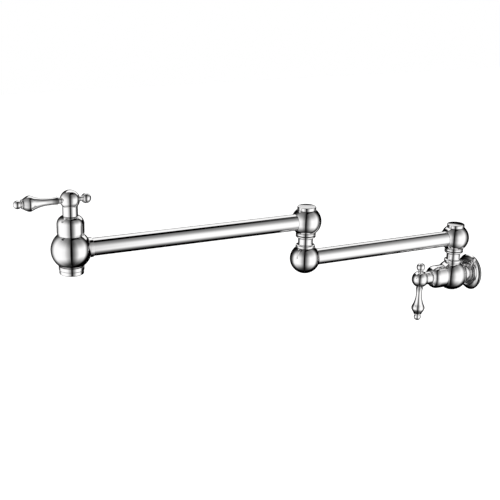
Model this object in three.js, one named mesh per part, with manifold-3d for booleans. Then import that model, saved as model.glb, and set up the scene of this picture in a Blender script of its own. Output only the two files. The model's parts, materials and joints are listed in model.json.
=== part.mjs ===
// Wall-mounted pot filler: a tap on two folding arms, with a quarter-turn valve at each end.
// Units are millimetres and +Z is up. The origin is on the wall plane, on the inlet's axis.
// The arms are drawn straight out from the wall, along -Y.

import * as THREE from 'three';
import { mergeVertices } from 'three/addons/utils/BufferGeometryUtils.js';
import Module from 'manifold-3d';

const wasm = await Module();
wasm.setup();

// ---- Layout ----
const pivotFromWall = 35; // wall plane to the wall swivel's axis
const innerReach = 250; // wall swivel's axis to the elbow's axis
const outerReach = 325; // elbow's axis to the spout's axis

// ---- Clearances ----
const seatGap = 0.3; // between seated faces, and round a plug in its socket
const sealProud = 0.1; // how far an O-ring stands out of its groove

// ---- Facets ----
const outerSides = 20; // shells that are seen
const neckSides = 14;
const handleSides = 14;
const innerSides = 12; // turned pieces inside the shells
const holeSides = 8; // small holes
const chordError = 0.25; // how far an arc's chords may lie inside it
const weldDistance = 1e-4;

// ---- Arm tubes ----
const tubeRadius = 11;
const tubeWall = 1.2;
const portRadius = 5.6; // way from a chamber into its tube

// ---- Joint balls ----
const ballRadius = 20.3;
const chamberRadius = 11; // water chamber of an upper ball
const lowerChamberRadius = 7.7;
const lowerChamberDepth = 7; // below the ball's centre
const tubeShoulder = 1.7; // metal between a chamber and the end of its tube
const capRadius = 12.6;
const capHeight = 4.8;
const capEdge = 1.4; // rounding of the cap's rim
const capCrown = 0.3; // rise of the cap's top from its rim to its middle
const capPlugLength = 4.7;
const capMargin = 0.3; // flat of the ball left showing round its cap

// ---- Swivel joint ----
const ringRadius = 13.4; // ring that the parting line divides
const ringStep = 0.6; // ring proud of the ball where they meet
const footHeight = 2.4; // the ball's half of the ring
const neckHeight = 16.4; // from the lower ring's base to the parting line
const neckRingHeight = 1.9; // the neck's half of the ring
const lowerRingRadius = 13.1;
const lowerRingHeight = 3.6;
const neckFlare = 2.6; // height of each taper between a ring and the waist
const waistRadius = 10;
const waterwayRadius = 4.8; // bore through the neck
const plugRadius = 9;
const plugLength = 7.5;
const spigotRadius = 8;
const guideLength = 12.2; // bore of the ball that turns on the spigot
const threadRadius = 7;
const washerThickness = 0.8;
const nutRadius = 9.8; // across corners
const nutHeight = 5;
const threadStandout = 1;
const oRingRadius = 0.8; // section of the swivel's O-rings
const oRingSpacing = 4.5;
const capSealRadius = 0.7; // section of the cap's O-ring

// ---- Wall end ----
const valveBallRadius = 22.4;
const bossRadius = 11.6; // seat on the valve body for the neck
const bossRise = 0.54; // seat above the ball
const stubRadius = 13.4; // stub of the valve body that carries the flange
const stubShort = 1.5; // stub's end to the wall plane
const inletRadius = 10; // socket for the wall's half-inch pipe
const inletDepth = 16; // from the stub's end
const flangeRadius = 26.4;
const flangeDepth = 7; // wall plane to the front of the collar
const flangeEdge = 0.5; // broken edges of the foot and collar
const flangeFootWidth = 4.5; // foot's inner edge to the band outside
const flangeBandDepth = 3.5; // wall plane to the bevel
const flangeBeadCircle = 22.2; // radius of the bead's middle
const flangeBeadLevel = 4.9; // wall plane to the bead's middle
const flangeBeadRadii = [2.6, 1.9];
const flangeBeadStart = 18; // degrees round the bead where the bevel meets it
const flangeCollarRadius = 15.9;
const flangeCollarLength = 1.4; // straight part of the collar
const flangeBoreLength = 5;
const flangeWall = 2;
const flangeSealRadius = 0.7;
const flangeSealInset = 2.5; // front of the collar to the seal's middle

// ---- Valves ----
const cartridgeBore = 11;
const seatDepth = 9; // bore's floor below the middle of the ball
const throatRadius = 5; // way through that floor
const spindleBossRadius = 14.2; // threaded boss under the bonnet
const bonnetRadius = 16.6;
const bonnetBaseRadius = 16;
const bonnetTaper = 3;
const bonnetTopRadius = 9.8;
const bonnetShoulder = 10.3; // height of the rounded shoulder
const wallBonnetHeight = 24;
const spoutBonnetHeight = 23.5;
const bonnetRoof = 8.7; // thickness over the cartridge's flange
const cartridgeFlange = 2.7;
const cartridgeFlangeRadius = 13.5;
const cartridgeWall = 2.1;
const cartridgeSealThickness = 2.4;
const discThickness = 3;
const discHubRadius = 2.6;
const ports = 2; // in the seat disc, with as many lobes on the turning disc
const portInner = 3;
const portOuter = 6.9;
const portSpan = 76; // degrees of each sector port
const lobeSpan = 96; // degrees of each lobe that covers a port
const windowWidth = 8;
const windowHeight = 4.4;
const driveWidth = 5; // bar of the stem in the turning disc's slot
const driveLength = 14.4;
const driveDepth = 1.1;
const driveHeight = 5.2; // turning disc's top to the stem's flange
const stemFlangeRadius = 7.9;
const stemFlangeHeight = 3;
const journalRadius = 5.8;
const splineRadius = 4.6;
const splineDepth = 0.6;
const splineTeeth = 12;
const stemSealRadius = 0.55;
const stemSealInset = 2.4; // bonnet's roof to the stem seal's middle

// ---- Handles ----
const hubRadius = 12;
const skirtRadius = 9.2;
const skirtBore = 7.4;
const spoutSkirtHeight = 19.7; // bonnet's top to the hub's centre
const wallSkirtHeight = 16.7;
const hubSocketRise = 3.5; // spline socket above the hub's centre
const hubSocketEntry = 6.5; // spline socket's mouth below the hub's centre
const tangRadius = 3.2;
const studRadius = 2.4;
const hubHoleFloor = 5.9; // hub's axis to the floor of the tang and stud holes
const beadBulge = 0.8;
const spoutLeverSeat = 15.2; // hub's centre to the lever's collar
const wallLeverSeat = 12.4;
const spoutLeverLength = 53; // collar to tip
const wallLeverLength = 50.5;
const leverCollarRadius = 5.2;
const leverEdge = 0.5;
const leverWaist = 4.3; // narrowest radius
const leverWaistInset = 9; // collar to the narrowest place
const leverGirth = 9.6; // radius of the bulb
const leverSwell = 7.5; // length over which the bulb swells
const leverBulbInset = 7.4; // bulb's widest place to the ring
const leverSteps = 11; // stretches along the waist and bulb
const leverTipRadius = 5.1;
const leverRingRadius = 5.8;
const leverRingWidth = 1.4;
const leverNeckRadius = 3.5;
const finialRadius = 6.2;
const finialNeckRadius = 2.9;
const spoutFinialReach = 19.9; // hub's centre to the finial ball's centre
const wallFinialReach = 18;

// ---- Spout ----
const spoutBallRadius = 24.6;
const spoutTubeStop = 14; // spout's axis to the floor of the tube's socket
const socketRingRadius = 12.2;
const socketRingReach = 26;
const outletBore = 12;
const outletBoreDepth = 3.5;
const collarRadius = 15.5;
const collarStep = 1.1; // collar proud of the ball where they meet
const collarHeight = 4.5;
const collarEdge = 0.5;
const collarBore = 9.6;
const aeratorRadius = 14.9;
const aeratorHeight = 5;
const aeratorWall = 1.7;
const aeratorEdge = 1.4; // rounding of the lower edge
const aeratorLip = 1;
const aeratorMouth = 11;
const insertFlange = 1;
const insertRise = 5.5; // insert's barrel above its flange
const insertHoleRadius = 1.3;
const insertHoleCircle = 5.6;
const insertHoles = 6;
const gasketThickness = 0.9;

// ---- Finishes ----
const chrome = { color: 0xdcdee0, metalness: 1, roughness: 0.07 };
const brass = { color: 0xc9a862, metalness: 1, roughness: 0.35 };
const rubber = { color: 0x1c1c1d, metalness: 0, roughness: 0.8 };
const ceramic = { color: 0xf1eee8, metalness: 0, roughness: 0.25 };
const acetal = { color: 0xe6e6e2, metalness: 0, roughness: 0.5 };
const darkAcetal = { color: 0x232324, metalness: 0, roughness: 0.5 };

// ---- Levels that several pieces share, from the middle of the ball that they belong to ----
const heightAt = (radius, distance) => Math.sqrt(radius ** 2 - distance ** 2);

const ballTop = heightAt(ballRadius, capRadius + capMargin);
const tubeStop = chamberRadius + tubeShoulder;
const tubeSocket = tubeRadius + seatGap;
const guideRadius = spigotRadius + seatGap;
const footLevel = -heightAt(ballRadius, ringRadius - ringStep) - footHeight;
const neckTop = footLevel - washerThickness - 2 * seatGap;
const neckBottom = neckTop - neckHeight;
const guideTop = footLevel + guideLength;
const nutBottom = guideTop + seatGap;
const oRingGroove = oRingRadius + seatGap; // half the width of the groove
const oRingCircle = spigotRadius + sealProud - oRingRadius;
const bossTop = heightAt(valveBallRadius, bossRadius) + bossRise;
const elbowRise = ballTop + seatGap - neckBottom;
const wallRise = bossTop + seatGap - neckBottom;
const wallBonnetTop = heightAt(valveBallRadius, bonnetBaseRadius) + wallBonnetHeight;
const spoutBonnetTop = heightAt(spoutBallRadius, bonnetBaseRadius) + spoutBonnetHeight;
const spindleBossDrop = bonnetRoof + cartridgeFlange + 2 * seatGap; // bonnet's top to the boss's
const outletFace = -heightAt(spoutBallRadius, collarRadius - collarStep);
const sealTop = -seatDepth + seatGap + cartridgeSealThickness;
const seatDiscBottom = sealTop + seatGap;
const turningDiscBottom = seatDiscBottom + discThickness + seatGap;
const turningDiscTop = turningDiscBottom + discThickness;
const stemFlangeBottom = turningDiscTop + driveHeight;
const stemFlangeTop = stemFlangeBottom + stemFlangeHeight;
const discBore = cartridgeBore - seatGap - cartridgeWall;
const portAngles = Array.from({ length: ports }, (_, i) => (i * 360) / ports);
const halfPitch = 180 / ports; // degrees from the middle of a port to the web beside it

// ---- Making and combining shapes ----

// A profile of [radius, height] points turned about Z. It starts and ends on the axis,
// or it is a ring that closes on itself.
function turn(profile, sides = innerSides) {
  const points = profile.map(([radius, height]) => new THREE.Vector2(radius, height));
  if (THREE.ShapeUtils.area(points) < 0) points.reverse();
  if (points[0].x > 0) points.push(points[0].clone());
  return new THREE.LatheGeometry(points, sides).rotateX(Math.PI / 2);
}

// Points of an elliptical arc in the profile's plane, ends included.
function arc(centre, radii, fromDegrees, toDegrees) {
  const widest = 2 * Math.acos(1 - chordError / Math.max(...radii));
  const from = THREE.MathUtils.degToRad(fromDegrees);
  const to = THREE.MathUtils.degToRad(toDegrees);
  const steps = Math.max(2, Math.ceil(Math.abs(to - from) / widest));
  return Array.from({ length: steps + 1 }, (_, step) => {
    const angle = from + ((to - from) * step) / steps;
    return [centre[0] + radii[0] * Math.cos(angle), centre[1] + radii[1] * Math.sin(angle)];
  });
}

// The outline of a ball between two levels, measured from its middle.
function ballArc(radius, fromLevel, toLevel, middle = 0) {
  const from = THREE.MathUtils.radToDeg(Math.asin(fromLevel / radius));
  const to = THREE.MathUtils.radToDeg(Math.asin(toLevel / radius));
  return arc([0, middle], [radius, radius], from, to);
}

function cylinder(radius, from, to, sides = innerSides) {
  return turn([[0, from], [radius, from], [radius, to], [0, to]], sides);
}

function ring(inner, outer, from, to, sides = innerSides) {
  return turn([[inner, from], [outer, from], [outer, to], [inner, to]], sides);
}

function oRing(circle, section, level, sides = innerSides) {
  const corners = 5;
  const outline = Array.from({ length: corners }, (_, corner) => {
    const angle = (corner * 2 * Math.PI) / corners;
    return [circle + section * Math.cos(angle), level + section * Math.sin(angle)];
  });
  return turn(outline, sides);
}

// A flat outline, with any holes, raised from one level to another.
function prism(outline, holes, from, to) {
  const shape = new THREE.Shape(outline);
  shape.holes = holes.map((hole) => new THREE.Path(hole));
  const geometry = new THREE.ExtrudeGeometry(shape, { depth: to - from, bevelEnabled: false });
  return geometry.translate(0, 0, from);
}

function circlePoints(radius, count, centre = [0, 0]) {
  return Array.from({ length: count }, (_, i) => {
    const angle = (i * 2 * Math.PI) / count;
    return new THREE.Vector2(centre[0] + radius * Math.cos(angle), centre[1] + radius * Math.sin(angle));
  });
}

function arcPoints(radius, middleDegrees, spanDegrees) {
  return arc([0, 0], [radius, radius], middleDegrees - spanDegrees / 2, middleDegrees + spanDegrees / 2)
    .map(([x, y]) => new THREE.Vector2(x, y));
}

const towardsWall = (geometry) => geometry.rotateX(-Math.PI / 2); // Z turned to +Y
const awayFromWall = (geometry) => geometry.rotateX(Math.PI / 2); // Z turned to -Y

function toSolid(geometry) {
  const bare = geometry.clone();
  bare.deleteAttribute('normal');
  bare.deleteAttribute('uv');
  const merged = mergeVertices(bare, weldDistance);
  const corners = Array.from(merged.index.array);
  const triVerts = [];
  for (let i = 0; i < corners.length; i += 3) {
    const [a, b, c] = corners.slice(i, i + 3);
    if (a !== b && b !== c && c !== a) triVerts.push(a, b, c);
  }
  const vertProperties = new Float32Array(merged.attributes.position.array);
  const mesh = new wasm.Mesh({ numProp: 3, vertProperties, triVerts: new Uint32Array(triVerts) });
  return new wasm.Manifold(mesh);
}

function toGeometry(solid) {
  const mesh = solid.getMesh();
  const geometry = new THREE.BufferGeometry();
  geometry.setAttribute('position', new THREE.BufferAttribute(mesh.vertProperties, 3));
  geometry.setIndex(new THREE.BufferAttribute(mesh.triVerts, 1));
  geometry.computeVertexNormals();
  return geometry;
}

function join(base, ...additions) {
  return toGeometry(additions.reduce((solid, next) => solid.add(toSolid(next)), toSolid(base)));
}

function cut(base, ...cutters) {
  return toGeometry(cutters.reduce((solid, next) => solid.subtract(toSolid(next)), toSolid(base)));
}

function piece(name, geometry, finish) {
  const mesh = new THREE.Mesh(geometry, new THREE.MeshStandardMaterial(finish));
  mesh.name = name;
  return mesh;
}

function group(x, y, z, ...members) {
  const made = new THREE.Group();
  made.position.set(x, y, z);
  made.add(...members);
  return made;
}

// ---- Swivel joint: a post that an upper ball turns on. Levels are from that ball's middle. ----

function neckGeometry() {
  const grooves = [oRingSpacing / 2, -oRingSpacing / 2].map((offset) => {
    const middle = guideTop - guideLength / 2 - offset;
    const floor = oRingCircle - oRingRadius - seatGap;
    return [
      [spigotRadius, middle - oRingGroove],
      [floor, middle - oRingGroove],
      [floor, middle + oRingGroove],
      [spigotRadius, middle + oRingGroove],
    ];
  });
  const threadEnd = nutBottom + nutHeight + threadStandout;
  const lowerBead = lowerRingHeight / 4;
  const waistBottom = neckBottom + lowerRingHeight + neckFlare;
  const waistTop = neckTop - neckRingHeight - neckFlare;
  return turn([
    [waterwayRadius, neckBottom - plugLength],
    [plugRadius, neckBottom - plugLength],
    [plugRadius, neckBottom],
    [lowerRingRadius - lowerBead, neckBottom],
    [lowerRingRadius, neckBottom + lowerBead],
    [lowerRingRadius, neckBottom + 3 * lowerBead],
    [lowerRingRadius - lowerBead, neckBottom + lowerRingHeight],
    [(lowerRingRadius + waistRadius) / 2 - lowerBead, neckBottom + lowerRingHeight + neckFlare / 3],
    [waistRadius, waistBottom],
    [waistRadius, waistTop],
    [(ringRadius + waistRadius) / 2 - ringStep, neckTop - neckRingHeight - neckFlare / 3],
    [ringRadius - ringStep, neckTop - neckRingHeight],
    [ringRadius, neckTop - neckRingHeight + ringStep],
    [ringRadius, neckTop],
    [spigotRadius, neckTop],
    ...grooves[0],
    ...grooves[1],
    [spigotRadius, guideTop - seatGap],
    [threadRadius, guideTop - seatGap],
    [threadRadius, threadEnd],
    [waterwayRadius, threadEnd],
  ], neckSides);
}

function swivelORing(offset) {
  return oRing(oRingCircle, oRingRadius, guideTop - guideLength / 2 + offset, neckSides);
}

function retainingNutGeometry() {
  const hexagon = circlePoints(nutRadius, 6);
  const hole = circlePoints(threadRadius + seatGap, innerSides);
  return prism(hexagon, [hole], nutBottom, nutBottom + nutHeight);
}

function swivelPost(place) {
  return [
    piece(`${place}_neck`, neckGeometry(), chrome),
    piece(`${place}_o_ring_lower`, swivelORing(-oRingSpacing / 2), rubber),
    piece(`${place}_o_ring_upper`, swivelORing(oRingSpacing / 2), rubber),
    piece(`${place}_slip_washer`, ring(guideRadius, ringRadius - seatGap, neckTop + seatGap,
      neckTop + seatGap + washerThickness), darkAcetal),
    piece(`${place}_retaining_nut`, retainingNutGeometry(), brass),
  ];
}

// ---- Joint balls ----

function tubeSocketCutters(chamber) {
  const portStart = heightAt(chamber, portRadius);
  return [
    cylinder(tubeSocket, tubeStop, ballRadius + tubeWall, outerSides),
    cylinder(portRadius, portStart, tubeStop + seatGap),
  ];
}

// The upper ball turns on the neck's spigot and is open on top for the retaining nut.
function upperBallGeometry() {
  const footTop = footLevel + footHeight;
  const shell = turn([
    [guideRadius, footLevel],
    [ringRadius, footLevel],
    [ringRadius, footTop - ringStep],
    ...ballArc(ballRadius, footTop, ballTop),
    [chamberRadius, ballTop],
    [chamberRadius, guideTop],
    [guideRadius, guideTop],
  ], outerSides);
  return cut(shell, ...tubeSocketCutters(chamberRadius).map(awayFromWall));
}

// The lower ball is bored from the top for the neck's plug.
function lowerBallGeometry() {
  const socketFloor = ballTop - plugLength;
  const shell = turn([
    ...ballArc(ballRadius, -ballRadius, ballTop),
    [plugRadius + seatGap, ballTop],
    [plugRadius + seatGap, socketFloor],
    [lowerChamberRadius, socketFloor],
    [lowerChamberRadius, -lowerChamberDepth],
    [0, -lowerChamberDepth],
  ], outerSides);
  return cut(shell, ...tubeSocketCutters(lowerChamberRadius).map(towardsWall));
}

function capGeometry() {
  const plug = chamberRadius - seatGap;
  const capBottom = ballTop + seatGap;
  const sealLevel = ballTop - capPlugLength / 2;
  const groove = plug - 2 * capSealRadius - seatGap;
  return turn([
    [0, ballTop - capPlugLength],
    [plug, ballTop - capPlugLength],
    [plug, sealLevel - capSealRadius - seatGap],
    [groove, sealLevel - capSealRadius - seatGap],
    [groove, sealLevel + capSealRadius + seatGap],
    [plug, sealLevel + capSealRadius + seatGap],
    [plug, capBottom],
    [capRadius - capEdge / 3, capBottom],
    [capRadius, capBottom + capEdge / 3],
    ...arc([capRadius - capEdge, capBottom + capHeight - capEdge], [capEdge, capEdge], 0, 90),
    [0, capBottom + capHeight + capCrown],
  ], outerSides);
}

function upperBall(ballName, place) {
  const sealCircle = chamberRadius - seatGap - capSealRadius;
  const sealLevel = ballTop - capPlugLength / 2;
  return [
    piece(ballName, upperBallGeometry(), chrome),
    piece(`${place}_cap`, capGeometry(), chrome),
    piece(`${place}_cap_seal`, oRing(sealCircle, capSealRadius, sealLevel, outerSides), rubber),
  ];
}

function tube(name, from, to) {
  const wall = ring(tubeRadius - tubeWall, tubeRadius, from, to, outerSides);
  return piece(name, awayFromWall(wall), chrome);
}

// ---- Valves. In a valve's own frame Z is the spindle, pointing out of the bonnet,
// and +Y is the side where the water leaves or enters through the wall of the bore. ----

// The half of a valve body round the spindle: ball, threaded boss and cartridge bore.
function spindleHalf(radius, fromLevel, bonnetTop) {
  const bossEnd = bonnetTop - spindleBossDrop;
  return [
    ...ballArc(radius, fromLevel, heightAt(radius, spindleBossRadius)),
    [spindleBossRadius, bossEnd],
    [cartridgeBore, bossEnd],
    [cartridgeBore, -seatDepth],
    [throatRadius, -seatDepth],
  ];
}

function valveBodyGeometry() {
  const stubEnd = stubShort - pivotFromWall;
  const inletFloor = stubEnd + inletDepth;
  const sealLevel = flangeDepth - pivotFromWall - flangeSealInset;
  const grooveHalf = flangeSealRadius + seatGap;
  const grooveFloor = stubRadius - 2 * flangeSealRadius - seatGap;
  const shell = turn([
    [throatRadius, inletFloor],
    [inletRadius, inletFloor],
    [inletRadius, stubEnd],
    [stubRadius, stubEnd],
    [stubRadius, sealLevel - grooveHalf],
    [grooveFloor, sealLevel - grooveHalf],
    [grooveFloor, sealLevel + grooveHalf],
    [stubRadius, sealLevel + grooveHalf],
    ...spindleHalf(valveBallRadius, -heightAt(valveBallRadius, stubRadius), wallBonnetTop),
  ], outerSides);
  const socketFloor = bossTop - plugLength;
  const boss = cylinder(bossRadius, cartridgeBore + seatGap, bossTop, outerSides);
  const plugSocket = cylinder(plugRadius + seatGap, socketFloor, bossTop + plugLength, outerSides);
  const flat = cylinder(bossRadius, bossTop, bossTop + plugLength, outerSides);
  const waterway = cylinder(waterwayRadius, heightAt(cartridgeBore, waterwayRadius), bossTop);
  return cut(join(shell, towardsWall(boss)), ...[flat, plugSocket, waterway].map(towardsWall));
}

function spoutBodyGeometry() {
  const boreTop = outletFace + outletBoreDepth;
  const shell = turn([
    [throatRadius, boreTop],
    [outletBore, boreTop],
    [outletBore, outletFace],
    ...spindleHalf(spoutBallRadius, outletFace, spoutBonnetTop),
  ], outerSides);
  const socketRing = cylinder(socketRingRadius, spoutTubeStop, socketRingReach, outerSides);
  const socket = cylinder(tubeSocket, spoutTubeStop, socketRingReach + tubeWall, outerSides);
  const port = cylinder(portRadius, heightAt(cartridgeBore, portRadius), spoutTubeStop + seatGap);
  return cut(join(shell, towardsWall(socketRing)), towardsWall(socket), towardsWall(port));
}

function bonnetGeometry(ballSize, bonnetTop) {
  const inner = spindleBossRadius + seatGap;
  const base = heightAt(ballSize, bonnetBaseRadius) + seatGap;
  const shoulderLevel = bonnetTop - bonnetShoulder;
  const shoulderCentre = bonnetTopRadius - (bonnetRadius - bonnetTopRadius) / 2;
  const spread = bonnetRadius - shoulderCentre;
  const topAngle = Math.acos((bonnetTopRadius - shoulderCentre) / spread);
  const rise = bonnetShoulder / Math.sin(topAngle);
  return turn([
    [inner, heightAt(ballSize, inner) + seatGap],
    [bonnetBaseRadius, base],
    [bonnetRadius, base + bonnetTaper],
    ...arc([shoulderCentre, shoulderLevel], [spread, rise], 0, THREE.MathUtils.radToDeg(topAngle)),
    [journalRadius + 2 * seatGap, bonnetTop],
    [journalRadius + 2 * seatGap, bonnetTop - bonnetRoof],
    [inner, bonnetTop - bonnetRoof],
  ], outerSides);
}

// The cartridge's barrel holds both discs, and its flange is clamped by the bonnet.
function cartridgeGeometry(bonnetTop) {
  const outer = cartridgeBore - seatGap;
  const flangeTop = bonnetTop - bonnetRoof - seatGap;
  const flangeBottom = flangeTop - cartridgeFlange;
  const bearing = journalRadius + seatGap;
  const barrel = turn([
    [discBore, seatDiscBottom],
    [outer, seatDiscBottom],
    [outer, flangeBottom],
    [cartridgeFlangeRadius, flangeBottom],
    [cartridgeFlangeRadius, flangeTop],
    [bearing, flangeTop],
    [bearing, stemFlangeTop + seatGap],
    [discBore, stemFlangeTop + seatGap],
  ]);
  const windows = new THREE.BoxGeometry(windowWidth, 3 * cartridgeBore, windowHeight);
  windows.translate(0, 0, turningDiscTop + windowHeight / 2 + seatGap);
  return cut(barrel, windows);
}

// The sector ports face the lobes of the turning disc when the valve is shut.
function seatDiscGeometry() {
  const openings = portAngles.map((middle) => [
    ...arcPoints(portOuter, middle, portSpan),
    ...arcPoints(portInner, middle, portSpan).reverse(),
  ]);
  const outline = circlePoints(discBore - seatGap, innerSides);
  return prism(outline, openings, seatDiscBottom, seatDiscBottom + discThickness);
}

function turningDiscGeometry() {
  const outline = portAngles.flatMap((middle) => [
    ...arcPoints(discBore - 2 * seatGap, middle, lobeSpan),
    ...arcPoints(discHubRadius, middle + halfPitch, lobeSpan / ports),
  ]);
  const disc = prism(outline, [], turningDiscBottom, turningDiscTop);
  const slot = new THREE.BoxGeometry(2 * cartridgeBore, driveWidth + 2 * seatGap, 2 * driveDepth);
  return cut(disc, slot.translate(0, 0, turningDiscTop - seatGap));
}

function splineOutline(outer) {
  return Array.from({ length: 2 * splineTeeth }, (_, i) => {
    const angle = (i * Math.PI) / splineTeeth;
    const radius = i % 2 ? outer - splineDepth : outer;
    return new THREE.Vector2(radius * Math.cos(angle), radius * Math.sin(angle));
  });
}

function stemGeometry(bonnetTop, hubHeight) {
  const journalTop = hubHeight - hubSocketEntry - seatGap;
  const sealLevel = bonnetTop - bonnetRoof - stemSealInset;
  const grooveHalf = stemSealRadius + seatGap;
  const grooveFloor = journalRadius - 2 * stemSealRadius - seatGap;
  const spindle = turn([
    [0, stemFlangeBottom],
    [stemFlangeRadius, stemFlangeBottom],
    [stemFlangeRadius, stemFlangeTop],
    [journalRadius, stemFlangeTop],
    [journalRadius, sealLevel - grooveHalf],
    [grooveFloor, sealLevel - grooveHalf],
    [grooveFloor, sealLevel + grooveHalf],
    [journalRadius, sealLevel + grooveHalf],
    [journalRadius, journalTop],
    [0, journalTop],
  ]);
  const driveBottom = turningDiscTop - driveDepth;
  const driveTop = stemFlangeBottom + stemFlangeHeight / 2;
  const drive = new THREE.BoxGeometry(driveLength, driveWidth, driveTop - driveBottom);
  drive.translate(0, 0, (driveTop + driveBottom) / 2);
  const spline = prism(splineOutline(splineRadius), [], journalTop - splineDepth,
    hubHeight + hubSocketRise - seatGap);
  return join(spindle, drive, spline);
}

function valveInsides(place, bonnetTop) {
  const sealInner = throatRadius - seatGap;
  const sealOuter = cartridgeBore - 2 * seatGap;
  return [
    piece(`${place}_cartridge`, cartridgeGeometry(bonnetTop), brass),
    piece(`${place}_cartridge_seal`, ring(sealInner, sealOuter, sealTop - cartridgeSealThickness,
      sealTop), rubber),
    piece(`${place}_seat_disc`, seatDiscGeometry(), ceramic),
  ];
}

// ---- Handles. The hub sits on the spindle, the lever points along -Y and the finial along +Y. ----

function hubGeometry(bonnetTop, middle) {
  const skirtBottom = bonnetTop + seatGap;
  const mouth = middle - hubSocketEntry;
  const shell = turn([
    [0, mouth],
    [skirtBore, mouth],
    [skirtBore, skirtBottom],
    [skirtRadius, skirtBottom],
    ...ballArc(hubRadius, -heightAt(hubRadius, skirtRadius), hubRadius, middle),
  ], handleSides);
  const socket = prism(splineOutline(splineRadius + seatGap), [], mouth - seatGap,
    middle + hubSocketRise);
  const tangHole = awayFromWall(cylinder(tangRadius + seatGap, hubHoleFloor, 2 * hubRadius));
  const studHole = towardsWall(cylinder(studRadius + seatGap, hubHoleFloor, 2 * hubRadius));
  return cut(shell, socket, tangHole.translate(0, 0, middle), studHole.translate(0, 0, middle));
}

// Turned lever: tang, bead, collar, long waist, bulb, ring and a ball at the tip.
function leverGeometry(seat, length) {
  const tipMiddle = seat + length - leverTipRadius;
  const tipStart = heightAt(leverTipRadius, leverNeckRadius);
  const ringStart = tipMiddle - tipStart - 2 * leverRingWidth;
  const bulbLevel = ringStart - leverBulbInset;
  const swellLevel = bulbLevel - leverSwell;
  const waistLevel = seat + leverWaistInset;
  const body = new THREE.SplineCurve([
    new THREE.Vector2(leverCollarRadius, seat + leverEdge),
    new THREE.Vector2((leverCollarRadius + 3 * leverWaist) / 4, seat + leverWaistInset / 2),
    new THREE.Vector2(leverWaist, waistLevel),
    new THREE.Vector2((leverGirth + 9 * leverWaist) / 10, (waistLevel + swellLevel) / 2),
    new THREE.Vector2((leverGirth + leverWaist) / 2, swellLevel),
    new THREE.Vector2(leverGirth, bulbLevel),
    new THREE.Vector2(leverRingRadius + leverEdge, ringStart),
  ]);
  const outline = [
    [0, hubHoleFloor + seatGap],
    [tangRadius, hubHoleFloor + seatGap],
    ...arc([tangRadius, (hubRadius + seat) / 2], [beadBulge, (seat - hubRadius) / 2], -90, 60),
    ...body.getPoints(leverSteps).map((point) => [point.x, point.y]),
    [leverNeckRadius, ringStart + leverRingWidth / 3],
    [leverRingRadius, ringStart + (2 * leverRingWidth) / 3],
    [leverRingRadius, ringStart + (4 * leverRingWidth) / 3],
    ...ballArc(leverTipRadius, -tipStart, leverTipRadius, tipMiddle),
  ];
  return awayFromWall(turn(outline, handleSides));
}

function finialGeometry(reach) {
  const neckEnd = heightAt(finialRadius, finialNeckRadius);
  return towardsWall(turn([
    [0, hubHoleFloor + seatGap],
    [studRadius, hubHoleFloor + seatGap],
    [studRadius, hubRadius],
    [finialNeckRadius, hubRadius],
    ...ballArc(finialRadius, -neckEnd, finialRadius, reach),
  ]));
}

function handle(place, bonnetTop, middle, leverSeat, leverLength, finialReach) {
  const sealCircle = journalRadius - stemSealRadius;
  const sealLevel = bonnetTop - bonnetRoof - stemSealInset;
  return [
    piece(`${place}_stem`, stemGeometry(bonnetTop, middle), brass),
    piece(`${place}_stem_seal`, oRing(sealCircle, stemSealRadius, sealLevel), rubber),
    piece(`${place}_turning_disc`, turningDiscGeometry(), ceramic),
    piece(`${place}_hub`, hubGeometry(bonnetTop, middle), chrome),
    group(0, 0, middle,
      piece(`${place}_lever`, leverGeometry(leverSeat, leverLength), chrome),
      piece(`${place}_finial`, finialGeometry(finialReach), chrome)),
  ];
}

// ---- Wall end, in the wall valve's frame: the wall plane is at -pivotFromWall ----

// A spun shell: flat foot, band, bevel, bead, cove and a collar that slides on the body's stub.
function flangeGeometry() {
  const back = -pivotFromWall;
  const front = back + flangeDepth;
  const bore = stubRadius + seatGap;
  const bead = arc([flangeBeadCircle, back + flangeBeadLevel], flangeBeadRadii, flangeBeadStart, 180);
  const [coveRadius, coveBottom] = bead.pop();
  const coveTop = front - flangeCollarLength;
  const coveSize = [coveRadius - flangeCollarRadius, coveTop - coveBottom];
  return turn([
    [flangeRadius - flangeFootWidth, back],
    [flangeRadius - flangeEdge, back],
    [flangeRadius, back + flangeEdge],
    [flangeRadius, back + flangeBandDepth],
    ...bead,
    ...arc([coveRadius, coveTop], coveSize, 270, 180),
    [flangeCollarRadius, front - flangeEdge],
    [flangeCollarRadius - flangeEdge, front],
    [bore, front],
    [bore, front - flangeBoreLength],
    [flangeCollarRadius - flangeWall / 2, front - flangeBoreLength - flangeWall / 2],
  ], outerSides);
}

function wallPieces() {
  const back = -pivotFromWall;
  const sealCircle = stubRadius + sealProud - flangeSealRadius;
  const sealLevel = back + flangeDepth - flangeSealInset;
  return [
    piece('wall_flange', flangeGeometry(), chrome),
    piece('flange_seal', oRing(sealCircle, flangeSealRadius, sealLevel, outerSides), rubber),
    piece('valve_body', valveBodyGeometry(), chrome),
    piece('wall_bonnet', bonnetGeometry(valveBallRadius, wallBonnetTop), chrome),
  ];
}

// ---- Spout and outlet, from the middle of the spout's ball ----

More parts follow.
